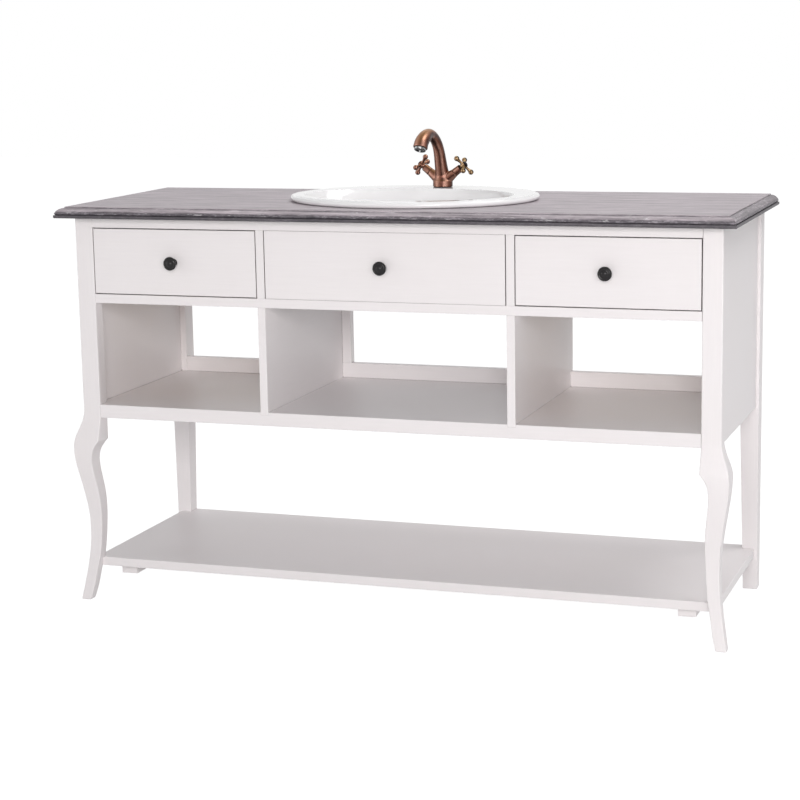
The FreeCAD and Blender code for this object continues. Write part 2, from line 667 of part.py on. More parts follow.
def make_basin():
    """Oval drop-in basin: a rounded rim and tap deck lofted over a bowl, one casting."""
    half_width = BASIN_WIDTH / 2
    half_length = BASIN_LENGTH / 2
    levels = []
    for up, into in RIM_SHARES:
        inset = RIM_HEIGHT * into
        levels.append(ellipse(half_width - inset, half_length - inset, BASIN_MIDDLE,
                              RIM_FOOT + RIM_HEIGHT * up))
    rim = Part.makeLoft(levels, True)

    inside = []
    outside = []
    wide = BOWL_WIDTH / 2
    long = BOWL_LENGTH / 2
    mouth = DRAIN_DIAMETER / 2
    for down, across, along, drift in BOWL_SHARES:
        middle = BOWL_MIDDLE + drift * (DRAIN_PLACE - BOWL_MIDDLE)
        z = RIM_TOP - BOWL_DEPTH * down
        inside.append(ellipse(wide * across, long * along, middle, z))
        outside.append(ellipse(wide * across + BASIN_WALL, long * along + BASIN_WALL, middle,
                               min(z, RIM_FOOT + RIM_HEIGHT / 2) - BASIN_WALL * down))
    inside.append(ellipse(mouth, mouth, DRAIN_PLACE, BOWL_FLOOR))
    boss = DRAIN_BOSS_DIAMETER / 2
    outside.append(ellipse(boss, boss, DRAIN_PLACE, BOSS_FOOT))
    del outside[1]  # The rim covers the bowl's outside here, so it needs no section
    lip = ellipse(wide + OVERRUN, long + OVERRUN, BOWL_MIDDLE, RIM_TOP + OVERRUN)
    hollow = Part.makeLoft([lip] + inside, True)
    shell = Part.makeLoft(outside, True)

    drain = Part.makeCylinder(mouth, 2 * DRAIN_FLOOR, V(0, DRAIN_PLACE, BOSS_FOOT - OVERRUN))
    recess = Part.makeCylinder(DRAIN_RECESS_DIAMETER / 2, BOWL_DEPTH / 2,
                               V(0, DRAIN_PLACE, RECESS_FLOOR))
    tap_hole = Part.makeCylinder(TAP_HOLE_DIAMETER / 2, 2 * RIM_HEIGHT,
                                 V(0, TAP_PLACE, RIM_FOOT - RIM_HEIGHT / 2))
    return in_cutout(rim.fuse(shell).cut([hollow, drain, recess, tap_hole]))


def make_basin_seal():
    """Thin sealing ring between the rim's foot and the worktop."""
    half_width = BASIN_WIDTH / 2 - SEAL_INSET
    half_length = BASIN_LENGTH / 2 - SEAL_INSET
    disc = Part.Face(ellipse(half_width, half_length, BASIN_MIDDLE, SURFACE))
    hole = Part.Face(ellipse(half_width - SEAL_WIDTH, half_length - SEAL_WIDTH, BASIN_MIDDLE, SURFACE))
    return in_cutout(disc.cut(hole).extrude(V(0, 0, SEAL_THICKNESS)))


def make_basin_clips():
    """Four bent clips that grip the cut-out's lower edge from the basin's rim."""
    clips = []
    width = CLIP_WIDTH / 2
    hook = box(-CLIP_THICKNESS, CLIP_REACH, -width, width, -CLIP_THICKNESS, 0)
    stem = box(-CLIP_THICKNESS, 0, -width, width, -CLIP_THICKNESS, RIM_FOOT - POST_TOP)
    clip = hook.fuse(stem).removeSplitter()
    half_width = BASIN_WIDTH / 2 - CUTOUT_MARGIN - CLIP_CLEARANCE
    half_length = BASIN_LENGTH / 2 - CUTOUT_MARGIN - CLIP_CLEARANCE
    for angle in CLIP_ANGLES:
        turn = math.radians(angle)
        outward = V(math.cos(turn) / half_width, math.sin(turn) / half_length, 0).normalize()
        point = V(half_width * math.cos(turn), BASIN_MIDDLE + half_length * math.sin(turn), POST_TOP)
        heading = math.degrees(math.atan2(outward.y, outward.x))
        piece = clip.copy()
        piece.rotate(V(0, 0, 0), V(0, 0, 1), heading)
        piece.translate(point)
        clips.append(in_cutout(piece))
    return clips


def make_waste():
    """Push-button waste: flanged tube, guide, plug, seals above and below, and a back nut."""
    top = FLANGE_SEAT + FLANGE_THICKNESS
    tail = BOSS_FOOT - TAIL_LENGTH
    thread = THREAD_DIAMETER / 2
    bore = TUBE_BORE / 2
    flange = FLANGE_DIAMETER / 2
    nut_foot = BOSS_FOOT - LOWER_SEAL_THICKNESS - BACK_NUT_HEIGHT
    groove = thread - THREAD_RELIEF / 2
    body = lathe([
        (bore, tail), (thread, tail), (thread, nut_foot - 2 * THREAD_RELIEF),
        (groove, nut_foot - 2 * THREAD_RELIEF), (groove, nut_foot - THREAD_RELIEF),
        (thread, nut_foot - THREAD_RELIEF), (thread, FLANGE_SEAT), (flange, FLANGE_SEAT),
        (flange, top - FLANGE_ROUND), (flange - FLANGE_ROUND, top, QUARTER_BULGE_SHARE),
        (bore + FLANGE_ROUND, top), (bore, top - FLANGE_ROUND, QUARTER_BULGE_SHARE)])

    guide_foot = top - GUIDE_DEPTH - GUIDE_HEIGHT
    spider = Part.makeCylinder(GUIDE_HUB_DIAMETER / 2, GUIDE_HEIGHT, V(0, 0, guide_foot))
    bar = box(0, TUBE_BORE, -GUIDE_ARM / 2, GUIDE_ARM / 2, guide_foot, guide_foot + GUIDE_HEIGHT)
    for arm in range(GUIDE_ARMS):
        bar.rotate(V(0, 0, 0), V(0, 0, 1), 360 / GUIDE_ARMS)
        spider = spider.fuse(bar)
    spider = spider.common(Part.makeCylinder(bore, GUIDE_HEIGHT, V(0, 0, guide_foot)))
    pin = PLUG_STEM_DIAMETER / 2
    pin_hole = Part.makeCylinder(pin + RUNNING_CLEARANCE, GUIDE_HEIGHT, V(0, 0, guide_foot))

    under = top + PLUG_GAP
    wide = PLUG_DIAMETER / 2
    crown = under + PLUG_THICKNESS
    plug = lathe([
        (0, under - PLUG_STEM_LENGTH), (pin, under - PLUG_STEM_LENGTH), (pin, under),
        (wide - PLUG_EDGE, under), (wide - PLUG_EDGE, under + PLUG_EDGE),
        (wide, under + PLUG_EDGE), (wide - PLUG_EDGE, crown, QUARTER_BULGE_SHARE),
        (0, crown + PLUG_CROWN, dome_share(wide - PLUG_EDGE, PLUG_CROWN))])

    lower_seal = ring(LOWER_SEAL_DIAMETER, THREAD_DIAMETER, LOWER_SEAL_THICKNESS,
                      BOSS_FOOT - LOWER_SEAL_THICKNESS)
    upper_seal = ring(FLANGE_DIAMETER, THREAD_DIAMETER, UPPER_SEAL_THICKNESS, RECESS_FLOOR)
    nut = hexagon(BACK_NUT_ACROSS, BACK_NUT_HEIGHT, nut_foot)
    nut = nut.cut(Part.makeCylinder(thread, BACK_NUT_HEIGHT, V(0, 0, nut_foot)))

    waste = {"waste_body": body, "waste_guide": spider.cut(pin_hole), "waste_plug": plug,
             "waste_seals": Part.makeCompound([lower_seal, upper_seal]), "waste_nut": nut}
    for name, shape in waste.items():
        shape.translate(V(0, DRAIN_PLACE, 0))
        parts[name] = in_cutout(shape)


def on_arm(side, shape):
    """Lay a shape made about Z on an arm's axis. The cold arm is the right one."""
    moved = shape.copy()
    moved.rotate(V(0, 0, 0), V(0, 1, 0), 90 - ARM_RISE)
    moved.translate(V(0, 0, ARM_ROOT_HEIGHT))
    if side == "hot":
        moved.rotate(V(0, 0, 0), V(0, 0, 1), 180)
    return moved


def on_basin(shape):
    """Stand a tap piece on its gasket, over the tap hole, turned as it was fitted."""
    moved = shape.copy()
    moved.rotate(V(0, 0, 0), V(0, 0, 1), -TAP_TURN)
    moved.translate(V(0, TAP_PLACE, TAP_FOOT))
    return in_cutout(moved)


def spout_point(shares):
    return V(0, -SPOUT_REACH * shares[0], SPOUT_HEIGHT * shares[1])


def outlet_direction():
    lean = math.radians(OUTLET_LEAN)
    return V(0, -math.sin(lean), -math.cos(lean))


def make_spout():
    """Swan-neck spout: a loft through circles square to its centre line."""
    points = [spout_point(shares) for shares in SPOUT_SHARES]
    sections = []
    for index, point in enumerate(points):
        if index == 0:
            heading = V(0, 0, 1)
        elif index == len(points) - 1:
            heading = outlet_direction()
        else:
            heading = points[index + 1] - points[index - 1]
        circle = Part.Circle(point, heading, SPOUT_DIAMETERS[index] / 2)
        sections.append(Part.Wire(circle.toShape()))
    neck = Part.makeLoft(sections, True)
    mouth = points[-1]
    out = outlet_direction()
    wide = SPOUT_DIAMETERS[-1] / 2
    lip = lathe([
        (0, 0), (wide, 0), (wide - OUTLET_LIP, OUTLET_LIP, QUARTER_BULGE_SHARE), (0, OUTLET_LIP)])
    bore = Part.makeCylinder(AERATOR_DIAMETER / 2 + AERATOR_CLEARANCE, SPOUT_BORE_DEPTH + OVERRUN,
                             mouth + out * (OUTLET_LIP + OVERRUN), out * -1)
    return neck.fuse(placed(lip, out, mouth)), bore


def make_tap_stud():
    """Threaded rod that is screwed into the tap's foot, behind the hoses."""
    return Part.makeCylinder(STUD_DIAMETER / 2, STUD_LENGTH,
                             V(0, STUD_BACK, TAIL_THREAD_DEPTH - STUD_LENGTH))


def make_tap_body(stud):
    """One casting with base, two arms and spout, bored for what is screwed into it."""
    base = TAP_BASE_DIAMETER / 2
    shoulder = SHOULDER_DIAMETER / 2
    column = lathe([
        (0, 0), (base, 0), (base, TAP_BASE_HEIGHT),
        (shoulder, SHOULDER_HEIGHT, -SHALLOW_BULGE_SHARE),
        (0, SHOULDER_HEIGHT + shoulder)])
    arm = lathe([
        (0, 0), (ARM_ROOT_DIAMETER / 2, 0), (ARM_END_DIAMETER / 2, ARM_LENGTH), (0, ARM_LENGTH)])
    arm_bore = Part.makeCylinder(ARM_BORE / 2, ARM_BORE_DEPTH + OVERRUN,
                                 V(0, 0, ARM_LENGTH - ARM_BORE_DEPTH))
    arms = [on_arm(side, arm) for side in SPOKE_TURNS]
    spout, outlet_bore = make_spout()
    casting = column.fuse(arms + [spout])

    below = Part.makeBox(4 * base, 4 * base, 2 * base, V(-2 * base, -2 * base, -2 * base))
    bores = [on_arm(side, arm_bore) for side in SPOKE_TURNS]
    for x in (-TAIL_OFFSET, TAIL_OFFSET):
        bores.append(Part.makeCylinder(TAIL_THREAD_DIAMETER / 2, TAIL_THREAD_DEPTH + OVERRUN,
                                       V(x, -TAIL_FORWARD, -OVERRUN)))
    return casting.cut([below, outlet_bore, stud] + bores)


def make_tap_fixings(stud):
    """Gasket over the tap hole, and the slotted plate and nut that clamp the tap from below."""
    gasket = ring(GASKET_DIAMETER, TAP_HOLE_DIAMETER, GASKET_THICKNESS, -GASKET_THICKNESS)
    under = RIM_FOOT - TAP_FOOT
    plate = Part.makeCylinder(CLAMP_DIAMETER / 2, CLAMP_THICKNESS, V(0, 0, under - CLAMP_THICKNESS))
    slot = box(-CLAMP_SLOT / 2, CLAMP_SLOT / 2, -CLAMP_DIAMETER, CLAMP_SLOT_END,
               under - 2 * CLAMP_THICKNESS, under + CLAMP_THICKNESS)
    nut = hexagon(STUD_NUT_ACROSS, STUD_NUT_HEIGHT, under - CLAMP_THICKNESS - STUD_NUT_HEIGHT)
    nut.translate(V(0, STUD_BACK, 0))
    return gasket, plate.cut([slot, stud]), nut.cut(stud)


def make_aerator():
    """Screwed-in nozzle of the spout, with a shallow mouth."""
    wide = AERATOR_DIAMETER / 2
    mouth = AERATOR_MOUTH / 2
    inner_end = OUTLET_LIP - SPOUT_BORE_DEPTH
    outer_end = OUTLET_LIP + AERATOR_PROJECTION
    aerator = lathe([
        (0, inner_end), (wide, inner_end), (wide, outer_end - AERATOR_ROUND),
        (wide - AERATOR_ROUND, outer_end, QUARTER_BULGE_SHARE), (mouth, outer_end),
        (mouth, outer_end - AERATOR_ROUND), (0, outer_end - AERATOR_ROUND)])
    return placed(aerator, outlet_direction(), spout_point(SPOUT_SHARES[-1]))


def make_tap():
    """Casting, aerator and fixings, stood on the basin."""
    stud = make_tap_stud()
    gasket, plate, nut = make_tap_fixings(stud)
    tap = {"tap_body": make_tap_body(stud), "tap_stud": stud, "tap_gasket": gasket,
           "tap_clamp_plate": plate, "tap_nut": nut, "aerator": make_aerator()}
    for name, shape in tap.items():
        parts[name] = on_basin(shape)


def make_bonnet(spindle):
    """Collar about Z over the arm's end, with a dark seam where it meets the casting."""
    wide = ARM_END_DIAMETER / 2
    narrow = BONNET_END_DIAMETER / 2
    plug = ARM_BORE / 2
    seam = wide - BONNET_SEAM_DEPTH
    bonnet = lathe([
        (0, ARM_LENGTH - ARM_BORE_DEPTH), (plug, ARM_LENGTH - ARM_BORE_DEPTH), (plug, ARM_LENGTH),
        (seam, ARM_LENGTH), (seam, ARM_LENGTH + BONNET_SEAM), (wide, ARM_LENGTH + BONNET_SEAM),
        (narrow, BONNET_TOP - BONNET_CHAMFER), (narrow - BONNET_CHAMFER, BONNET_TOP),
        (0, BONNET_TOP)])
    bore = Part.makeCylinder(spindle + RUNNING_CLEARANCE, SPINDLE_DEPTH + HANDLE_GAP + OVERRUN,
                             V(0, 0, BONNET_TOP - SPINDLE_DEPTH - HANDLE_GAP))
    return bonnet.cut(bore)


def make_spoke():
    """Waisted spoke along Z with a ball at its end."""
    ball = BALL_DIAMETER / 2
    neck = SPOKE_NECK_DIAMETER / 2
    root = SPOKE_ROOT_DIAMETER / 2
    start = HUB_DIAMETER / 4
    spoke = lathe([
        (0, start), (root, start), (neck, BALL_RADIUS - ball, -SHALLOW_BULGE_SHARE),
        (neck, BALL_RADIUS), (0, BALL_RADIUS)])
    return spoke.fuse(Part.makeSphere(ball, V(0, 0, BALL_RADIUS)))


def make_handle(rod):
    """Cross handle about Z: a waisted hub with a cap, and four spokes, bored for its spindle."""
    foot = BONNET_TOP + HANDLE_GAP
    cross = foot + CROSS_HEIGHT
    hub_end = foot + HUB_LENGTH
    cap_foot = hub_end - CAP_HEIGHT
    hub = HUB_DIAMETER / 2
    cap = CAP_DIAMETER / 2
    core = lathe([
        (0, foot), (HUB_FOOT_DIAMETER / 2, foot),
        (hub, cross - SPOKE_ROOT_DIAMETER / 2, -SHALLOW_BULGE_SHARE),
        (hub, cap_foot), (cap - CAP_SEAM, cap_foot), (cap - CAP_SEAM, cap_foot + CAP_SEAM),
        (cap, cap_foot + CAP_SEAM), (0, hub_end, dome_share(cap, CAP_HEIGHT - CAP_SEAM))])
    spoke = make_spoke()
    spoke.rotate(V(0, 0, 0), V(0, 1, 0), 90)
    spoke.translate(V(0, 0, cross))
    spokes = []
    for place in range(SPOKES):
        arm = spoke.copy()
        arm.rotate(V(0, 0, 0), V(0, 0, 1), 360 / SPOKES * place)
        spokes.append(arm)
    return core.fuse(spokes).cut(rod)


def make_valves():
    """Bonnet, spindle and cross handle of each arm."""
    spindle = SPINDLE_DIAMETER / 2
    rod = Part.makeCylinder(spindle, SPINDLE_DEPTH + HANDLE_GAP + SPINDLE_REACH,
                            V(0, 0, BONNET_TOP - SPINDLE_DEPTH))
    bonnet = make_bonnet(spindle)
    handle = make_handle(rod)
    bonnets = []
    for side, turn in SPOKE_TURNS.items():
        turned = handle.copy()
        turned.rotate(V(0, 0, 0), V(0, 0, 1), turn)
        bonnets.append(on_basin(on_arm(side, bonnet)))
        parts[side + "_spindle"] = on_basin(on_arm(side, rod))
        parts[side + "_handle"] = on_basin(on_arm(side, turned))
    parts["bonnets"] = Part.makeCompound(bonnets)


# Planes of the basin and tap, from the worktop's surface up
BASIN_LENGTH = BACK - BASIN_BACK_MARGIN - FRONT - BASIN_SETBACK
BASIN_MIDDLE = FRONT + BASIN_SETBACK + BASIN_LENGTH / 2
RIM_FOOT = SURFACE + SEAL_THICKNESS
RIM_TOP = RIM_FOOT + RIM_HEIGHT
BOWL_WIDTH = BASIN_WIDTH - 2 * BOWL_SIDE_LAND
BOWL_LENGTH = BASIN_LENGTH - BOWL_FRONT_LAND - BOWL_BACK_LAND
BOWL_MIDDLE = BASIN_MIDDLE - BASIN_LENGTH / 2 + BOWL_FRONT_LAND + BOWL_LENGTH / 2
BOWL_FLOOR = RIM_TOP - BOWL_DEPTH
DRAIN_PLACE = BASIN_MIDDLE
BOSS_FOOT = BOWL_FLOOR - DRAIN_FLOOR
RECESS_FLOOR = BOWL_FLOOR - DRAIN_RECESS_DEPTH
FLANGE_SEAT = RECESS_FLOOR + UPPER_SEAL_THICKNESS
TAP_PLACE = BASIN_MIDDLE + BASIN_LENGTH / 2 - TAP_HOLE_SETBACK
TAP_FOOT = RIM_TOP + GASKET_THICKNESS
BONNET_TOP = ARM_LENGTH + BONNET_LENGTH

make_carcass()
left_screws = make_bearers()
outer_runner, inner_runner, screws = make_runners()
left_screws += screws
make_drawer()
cleat, screws = make_false_front()
left_screws += screws
brackets, screws = make_brackets()
left_screws += screws

parts["worktop"] = make_worktop()
parts["left_outer_runner"] = outer_runner
parts["left_inner_runner"] = inner_runner
parts["right_outer_runner"] = mirrored(outer_runner)
parts["right_inner_runner"] = mirrored(inner_runner)
parts["false_front_cleats"] = Part.makeCompound([cleat, mirrored(cleat)])
parts["worktop_brackets"] = Part.makeCompound(brackets + [mirrored(item) for item in brackets])
all_screws = left_screws + [mirrored(item) for item in left_screws]
screwed = ["worktop", "left_side_panel", "right_side_panel", "left_divider", "right_divider",
           "lower_shelf", "left_bearer", "right_bearer", "left_outer_runner", "left_inner_runner",
           "right_outer_runner", "right_inner_runner", "false_front_cleats"]
for name in screwed:
    parts[name] = parts[name].cut(all_screws)
parts["wood_screws"] = Part.makeCompound(all_screws)

parts["basin"] = make_basin()
parts["basin_seal"] = make_basin_seal()
parts["basin_clips"] = Part.makeCompound(make_basin_clips())
make_waste()
make_tap()
make_valves()

os.makedirs("parts", exist_ok=True)
for name, shape in sorted(parts.items()):
    shape.exportStep("parts/" + name + ".step")
    print(name, len(shape.Solids), round(shape.Volume), shape.isValid())
print(len(parts), "parts")
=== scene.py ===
import json
import math

import bmesh
import bpy
from mathutils import Matrix, Vector


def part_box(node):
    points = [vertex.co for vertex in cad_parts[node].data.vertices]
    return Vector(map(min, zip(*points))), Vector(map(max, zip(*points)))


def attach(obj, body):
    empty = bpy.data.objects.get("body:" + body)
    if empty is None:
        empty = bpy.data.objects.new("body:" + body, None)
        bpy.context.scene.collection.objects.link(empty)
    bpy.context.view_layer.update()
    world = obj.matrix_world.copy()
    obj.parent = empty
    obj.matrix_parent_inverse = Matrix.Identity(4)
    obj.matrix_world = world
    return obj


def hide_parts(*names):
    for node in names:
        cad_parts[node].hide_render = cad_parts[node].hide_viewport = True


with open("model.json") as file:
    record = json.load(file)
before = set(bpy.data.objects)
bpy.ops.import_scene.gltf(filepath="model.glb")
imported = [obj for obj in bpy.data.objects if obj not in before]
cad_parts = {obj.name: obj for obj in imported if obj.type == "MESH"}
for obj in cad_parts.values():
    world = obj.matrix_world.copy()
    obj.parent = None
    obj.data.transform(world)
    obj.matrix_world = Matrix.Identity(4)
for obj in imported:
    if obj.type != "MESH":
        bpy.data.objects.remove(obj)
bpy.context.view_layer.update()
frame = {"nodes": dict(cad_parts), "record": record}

NODES = frame["nodes"]
RECORD = frame["record"]
BODY_OF = {node: body for body, nodes in RECORD["behaviour"]["bodies"].items() for node in nodes}
SLOT_OF = {item["node"]: item["material_slot"] for item in RECORD["subparts"]}
JOINTS = {joint["name"]: joint for joint in RECORD["behaviour"]["joints"]}
scene = bpy.context.scene

MM = 0.001
WHITE = (1, 1, 1, 1)

# The photograph's camera, in metres and radians, for a square picture
CAMERA_PLACE = (1.4313, -4.2213, 1.2775)
CAMERA_YAW = 0.33686
CAMERA_PITCH = -0.18382
CAMERA_ROLL = -0.01828
FOCAL_SHARE = 2.539
SENSOR = 36.0

# Lamps: place, side in metres, power in watts, colour
LAMPS = {
    "front": ((1.5, -5.4, 1.9), 1.8, 124, (1.0, 0.985, 0.98)),
    "side": ((3.2, -4.8, 1.7), 1.6, 40, (1.0, 0.98, 0.985)),
    "right": ((4.4, -2.0, 1.7), 2.2, 9, (1.0, 0.98, 0.995)),
    "left": ((-4.2, -2.4, 1.5), 2.2, 18, (0.99, 1.0, 0.98)),
    "above": ((2.3, 0.5, 4.6), 2.4, 66, (1.0, 0.99, 0.99)),
    "back": ((-1.0, 3.6, 4.6), 2.2, 16, (1.0, 1.0, 1.0))}
LAMP_TARGET = (0, 0, 0.5)
SKY = (0.97, 0.97, 1.0, 1)
SKY_STRENGTH = 0.27

# Floor, as the camera and mirrors see it and as it lights the object
FLOOR_REACH = 14.0
FLOOR_GLOW = 0.95
FLOOR_SHADOW = 0.3
FLOOR_PAPER = 0.85

# Easing of the wooden edges, in metres, and what counts as an edge
EASE = {"front_left_leg": 2.2 * MM, "front_right_leg": 2.2 * MM, "mid_shelf": 1.4 * MM,
        "lower_shelf": 1.4 * MM}
USUAL_EASE = 0.8 * MM
EASE_SEGMENTS = 2
EASED_SLOTS = ("white_paint", "bare_wood")
STORED_SHADING = ("custom_normal", "sharp_face", "sharp_edge")
WELD = 0.01 * MM
LEAST_EDGE = 3 * MM
FLAT_ANGLE = math.radians(0.4)
CORNER_ANGLE = math.radians(35)
CREASE_ANGLE = math.radians(20)

# Smoothing of the tap's casting
CASTING_VOXEL = 0.9 * MM
CASTING_PASSES = 8

# In the values below a tone is linear red, green and blue, and stops are places on a ramp, each
# with a tone or a grey. A noise is its scale, detail, roughness and distortion, as far as they
# aren't the usual ones, and a relief is its height in metres and its strength.

# How close a pattern stands along each axis, where the grain runs along X, Y or Z
ALONG_X = (1.5, 30, 30)
ALONG_Y = (30, 1.5, 30)
ALONG_Z = (30, 30, 1.5)

# Off-white paint
PAINT_IOR = 1.48
PAINT_STROKES = (9.0, 7.0, 0.6)
PAINT_TONES = ((0.86, 0.822, 0.825), (0.915, 0.88, 0.882))
PAINT_CLOUD = (4.0, 3.0)
CLOUD_STOPS = [(0.35, 0.0), (0.75, 0.5)]
CLOUD_TONE = (0.87, 0.828, 0.82)
PAINT_ROUGHNESS = [(0.3, 0.34), (0.7, 0.5)]
PAINT_RELIEF = (0.3 * MM, 0.5)

# Painted shade on the paint: a dark tone laid in gaps and inner corners where shade falls, the
# width of gap or inner corner it fills, and how much of it there is, from the narrowest place
# to an open one
NOOK_REACH = 5 * MM
NOOK_SAMPLES = 8
NOOK_SHADE_STOPS = [(0.30, 0.62), (0.62, 0.0)]
NOOK_SHADE_TONE = (0.20, 0.17, 0.17)

# Worktop, as it lies in the frame
TOP_LOW, TOP_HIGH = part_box("worktop")
TOP_THICKNESS = TOP_HIGH.z - TOP_LOW.z
MOULDING = 19 * MM
QUIRK = 2.2 * MM

# Its wash: streaks along the boards and finer ones between them
WASH_STREAKS = (3.4, 9.0, 0.62, 0.25)
WASH_FINE = (15.0, 8.0, 0.7)
STREAK_SHARE = 0.55
WASH_STOPS = [(0.37, (0.17, 0.150, 0.162)), (0.45, (0.37, 0.327, 0.350)),
              (0.54, (0.54, 0.478, 0.51)), (0.63, (0.78, 0.70, 0.74))]
WASH_ROUGHNESS = [(0.35, 0.42), (0.65, 0.58)]
WASH_RELIEF = (0.9 * MM, 0.6)

# The dark tone of its moulding, mottled by wear: partly real stain, partly painted shade
MOTTLE = (4.5, 7.0, 0.72, 0.9)
MOTTLE_STRETCH = (16, 16, 55)
MOTTLE_SHARE = 0.6
STAIN_AND_SHADE_STOPS = [(0.40, (0.020, 0.017, 0.022)), (0.47, (0.065, 0.057, 0.068)),
               (0.54, (0.15, 0.135, 0.152)), (0.61, (0.40, 0.365, 0.40))]
# Dark stain and painted shade down the moulded edge: depth under the surface as a share of its
# thickness, and how much of the dark tone is laid there, worn in places. The dark line in the
# quirk and the dark underside of the moulding are painted shade
EDGE_STAIN_AND_SHADE = [(0.0, 0.0), (0.05, 0.0), (0.09, 0.85), (0.13, 0.40), (0.20, 0.12), (0.34, 0.30),
              (0.44, 0.90), (0.60, 1.0), (0.80, 0.85), (0.96, 1.0)]
# The same on the two ends, at the least
END_STAIN = 0.6
# How far the wear breaks up the border of the stain and painted shade, and what is left there
RAGGED_GAIN = 3.0
RAGGED_STOPS = [(0.0, 0.35), (0.6, 1.0)]

# Rubbed marks on the moulding, and the painted shade on its lower lip, by shares of the thickness
RUB = (3.0, 6.0, 0.65, 0.6)
RUB_STRETCH = (9, 9, 60)
RUB_STOPS = [(0.60, 0.0), (0.67, 0.7)]
RUB_TONE = (0.72, 0.70, 0.71)
LIP_START_SHARE = 0.55
LIP_END_SHARE = 0.70
LIP_SHADE = 0.7
LIP_SHADE_TONE = (0.045, 0.040, 0.048)

# Bare timber of the drawer boxes
TIMBER_GRAIN = (6.0, 8.0, 0.6, 0.4)
TIMBER_STOPS = [(0.3, (0.42, 0.27, 0.14)), (0.7, (0.62, 0.44, 0.26))]
TIMBER_ROUGHNESS = 0.6
TIMBER_RELIEF = (0.5 * MM, 0.5)

# Glaze of the basin
GLAZE_ROUGHNESS = 0.08
GLAZE_COAT = 0.4
GLAZE_CLOUD = (7.0, 2.0)
GLAZE_TONES = ((0.925, 0.918, 0.918), (0.955, 0.948, 0.95))

# Copper of the tap, with painted reflections: its light and dark bands are painted round a form
# by the way the surface faces, from the left flank to the right one.
PINK_COPPER = {"dark": (0.055, 0.022, 0.017), "middle": (0.20, 0.085, 0.058),
               "light": (0.46, 0.25, 0.19), "gold": (0.27, 0.135, 0.055)}
GOLD_COPPER = {"dark": (0.050, 0.030, 0.015), "middle": (0.23, 0.13, 0.068),
               "light": (0.52, 0.36, 0.21), "gold": (0.34, 0.23, 0.09)}
# Dark copper: painted shade where a form faces down, and grime in the joints of the bonnets
SHADE_AND_GRIME_COPPER = (0.020, 0.011, 0.009)
COPPER_REFLECTION_BANDS = [(0.03, "dark"), (0.14, "middle"), (0.33, "light"), (0.50, "middle"),
                (0.62, "dark"), (0.78, "light"), (0.90, "middle"), (0.985, "dark")]
COPPER_STREAKS = (90.0, 2.0, 0.4)
STREAK_STRETCH = (1, 1, 0.1)
STREAK_SWAY = 0.16
# Painted sheen: gold where a form faces up. Painted shade: dark where it faces down.
UPWARD_SHEEN_STOPS = [(0.35, 0.0), (0.85, 0.75)]
DOWNWARD_SHADE_STOPS = [(0.45, 0.0), (0.8, 0.9)]
COPPER_MARKS = (90.0, 3.0)
MARK_STRETCH = (1, 1, 3)
COPPER_ROUGHNESS = [(0.3, 0.28), (0.7, 0.4)]

# Grime at the ends of the bonnets, by distance from the tap's own axis in such lengths
SEAM_LENGTH = 100 * MM
SEAM_BANDS = [(0.0, 1.0), (0.398, 1.0), (0.406, 0.0), (0.555, 0.0), (0.563, 1.0)]

# Black cap of a cross handle, and where it starts along the arm from the tap's own axis
CAP_START = 70.6 * MM
CAP_TONE = (0.012, 0.010, 0.011)

# Chrome, with painted reflections banded in the same way, and painted shade: how far down it
# faces where it is dark
CHROME_ROUGHNESS = 0.16
CHROME_REFLECTION_BANDS = [(0.05, 0.06), (0.25, 0.60), (0.42, 0.12), (0.62, 0.62), (0.80, 0.10),
                (0.95, 0.30)]
CHROME_DARK_FROM = 0.35
CHROME_DARK_AT = 0.7
CHROME_SHADE = (0.045, 0.045, 0.046)

# Plain metals: tone and roughness. Their marks swing both by these shares.
BRASS = ((0.6, 0.44, 0.2), 0.3)
ZINC_STEEL = ((0.5, 0.5, 0.49), 0.35)
METAL_MARKS = (400.0, 4.0)
METAL_DARK_SHARE = 0.9
METAL_SMOOTH_SHARE = 0.8
METAL_ROUGH_SHARE = 1.2
METAL_STOPS_AT = (0.3, 0.7)

# Enamel and rubber: dark and light tone, roughness, scale of the mottling and gloss
KNOB_ENAMEL = ((0.008, 0.007, 0.008), (0.018, 0.016, 0.017), 0.22, 300.0, 0.25)
RUBBER = ((0.02, 0.02, 0.021), (0.05, 0.05, 0.05), 0.75, 500.0, 0.5)
MOTTLING_DETAIL = 4.0


# Node building

def add(tree, kind, values=(), **settings):
    """Add a node with its settings, then fill its inputs with numbers or links."""
    item = tree.nodes.new("ShaderNode" + kind)
    for key, value in settings.items():
        setattr(item, key, value)
    for place, value in dict(values).items():
        if isinstance(value, bpy.types.NodeSocket):
            tree.links.new(value, item.inputs[place])
        else:
            item.inputs[place].default_value = value
    return item


def new_material(name, **constants):
    """Material with one principled shader. Constants go on the shader's own sockets."""
    material = bpy.data.materials.new(name)
    material.use_nodes = True
    shader = material.node_tree.nodes["Principled BSDF"]
    for key, value in constants.items():
        shader.inputs[key.replace("_", " ")].default_value = value
    return material, material.node_tree, shader


def own_place(tree):
    """Place on the object in metres."""
    return add(tree, "TexCoord").outputs["Object"]


def position(tree, scale=(1, 1, 1)):
    """Place on the object in metres, stretched."""
    return add(tree, "Mapping", {"Vector": own_place(tree), "Scale": scale}).outputs[0]


def normal_parts(tree):
    """The three parts of the surface's direction."""
    return add(tree, "SeparateXYZ", {0: add(tree, "NewGeometry").outputs["Normal"]}).outputs


def noise(tree, vector, scale, detail=4.0, roughness=0.55, distortion=0.0):
    return add(tree, "TexNoise", {"Vector": vector, "Scale": scale, "Detail": detail,
                                  "Roughness": roughness, "Distortion": distortion}).outputs["Fac"]


